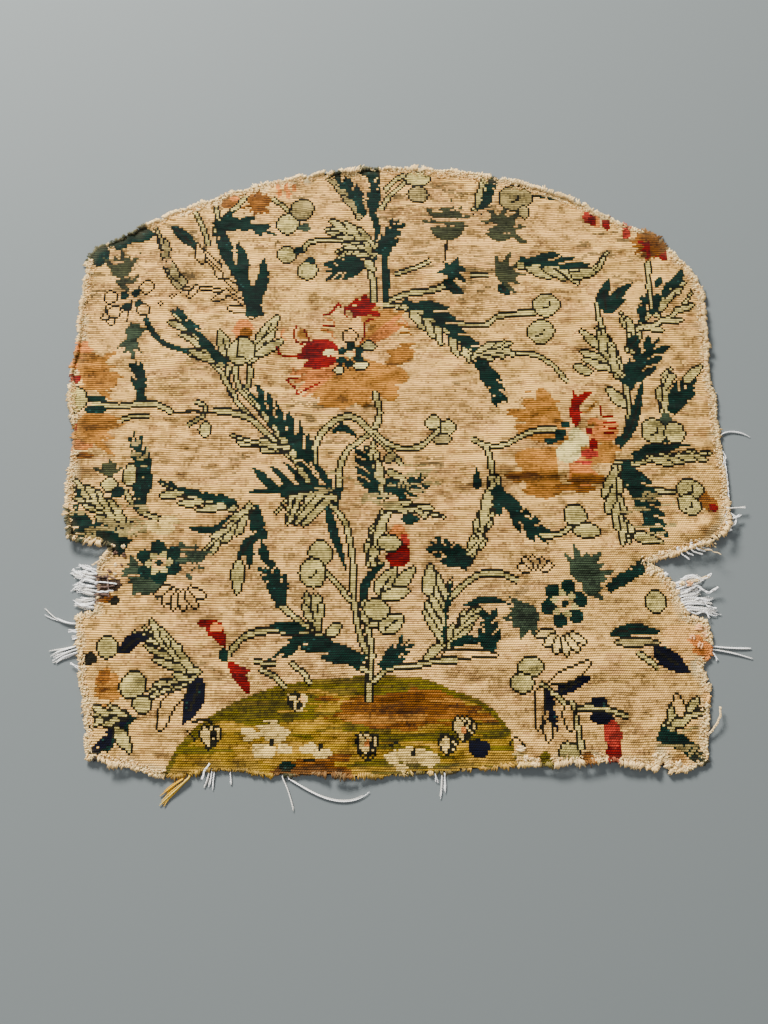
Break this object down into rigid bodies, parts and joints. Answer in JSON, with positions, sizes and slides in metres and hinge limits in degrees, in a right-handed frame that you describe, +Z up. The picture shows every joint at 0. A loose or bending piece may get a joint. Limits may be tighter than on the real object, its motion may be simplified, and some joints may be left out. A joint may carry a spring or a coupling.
{
  "type": "needlepoint seat cover",
  "caption": "Old needlepoint seat cover lying flat, with an arched top edge, a post cut on each side and loose canvas threads.",
  "frame": {"origin": "middle of the cloth's flat underside, 300 mm up from its bottom edge", "axes": "+Z up out of the stitched face, +Y towards the arched top edge, +X to the right as the stitched face is seen"},
  "size_m": [0.6843, 0.647, 0.0099],
  "materials": {
    "stitched_wool": "matt wool stitches in camel with a coloured flowering tree",
    "canvas_thread": "matt off-white cotton or linen canvas thread",
    "yellow_wool": "matt mustard yellow wool yarn"
  },
  "bodies": {
    "root": {"seat_cover_panel": "stitched_wool", "left_cut_fray": "canvas_thread", "right_cut_fray": "canvas_thread", "right_lip_fray": "canvas_thread", "left_wing_fray": "canvas_thread", "right_wing_fray": "canvas_thread", "right_side_thread": "canvas_thread", "right_corner_threads": "canvas_thread", "bottom_long_threads": "canvas_thread", "bottom_white_tails": "canvas_thread", "bottom_middle_tuft": "canvas_thread", "yellow_yarn_tail": "yellow_wool"}
  },
  "joints": []
}
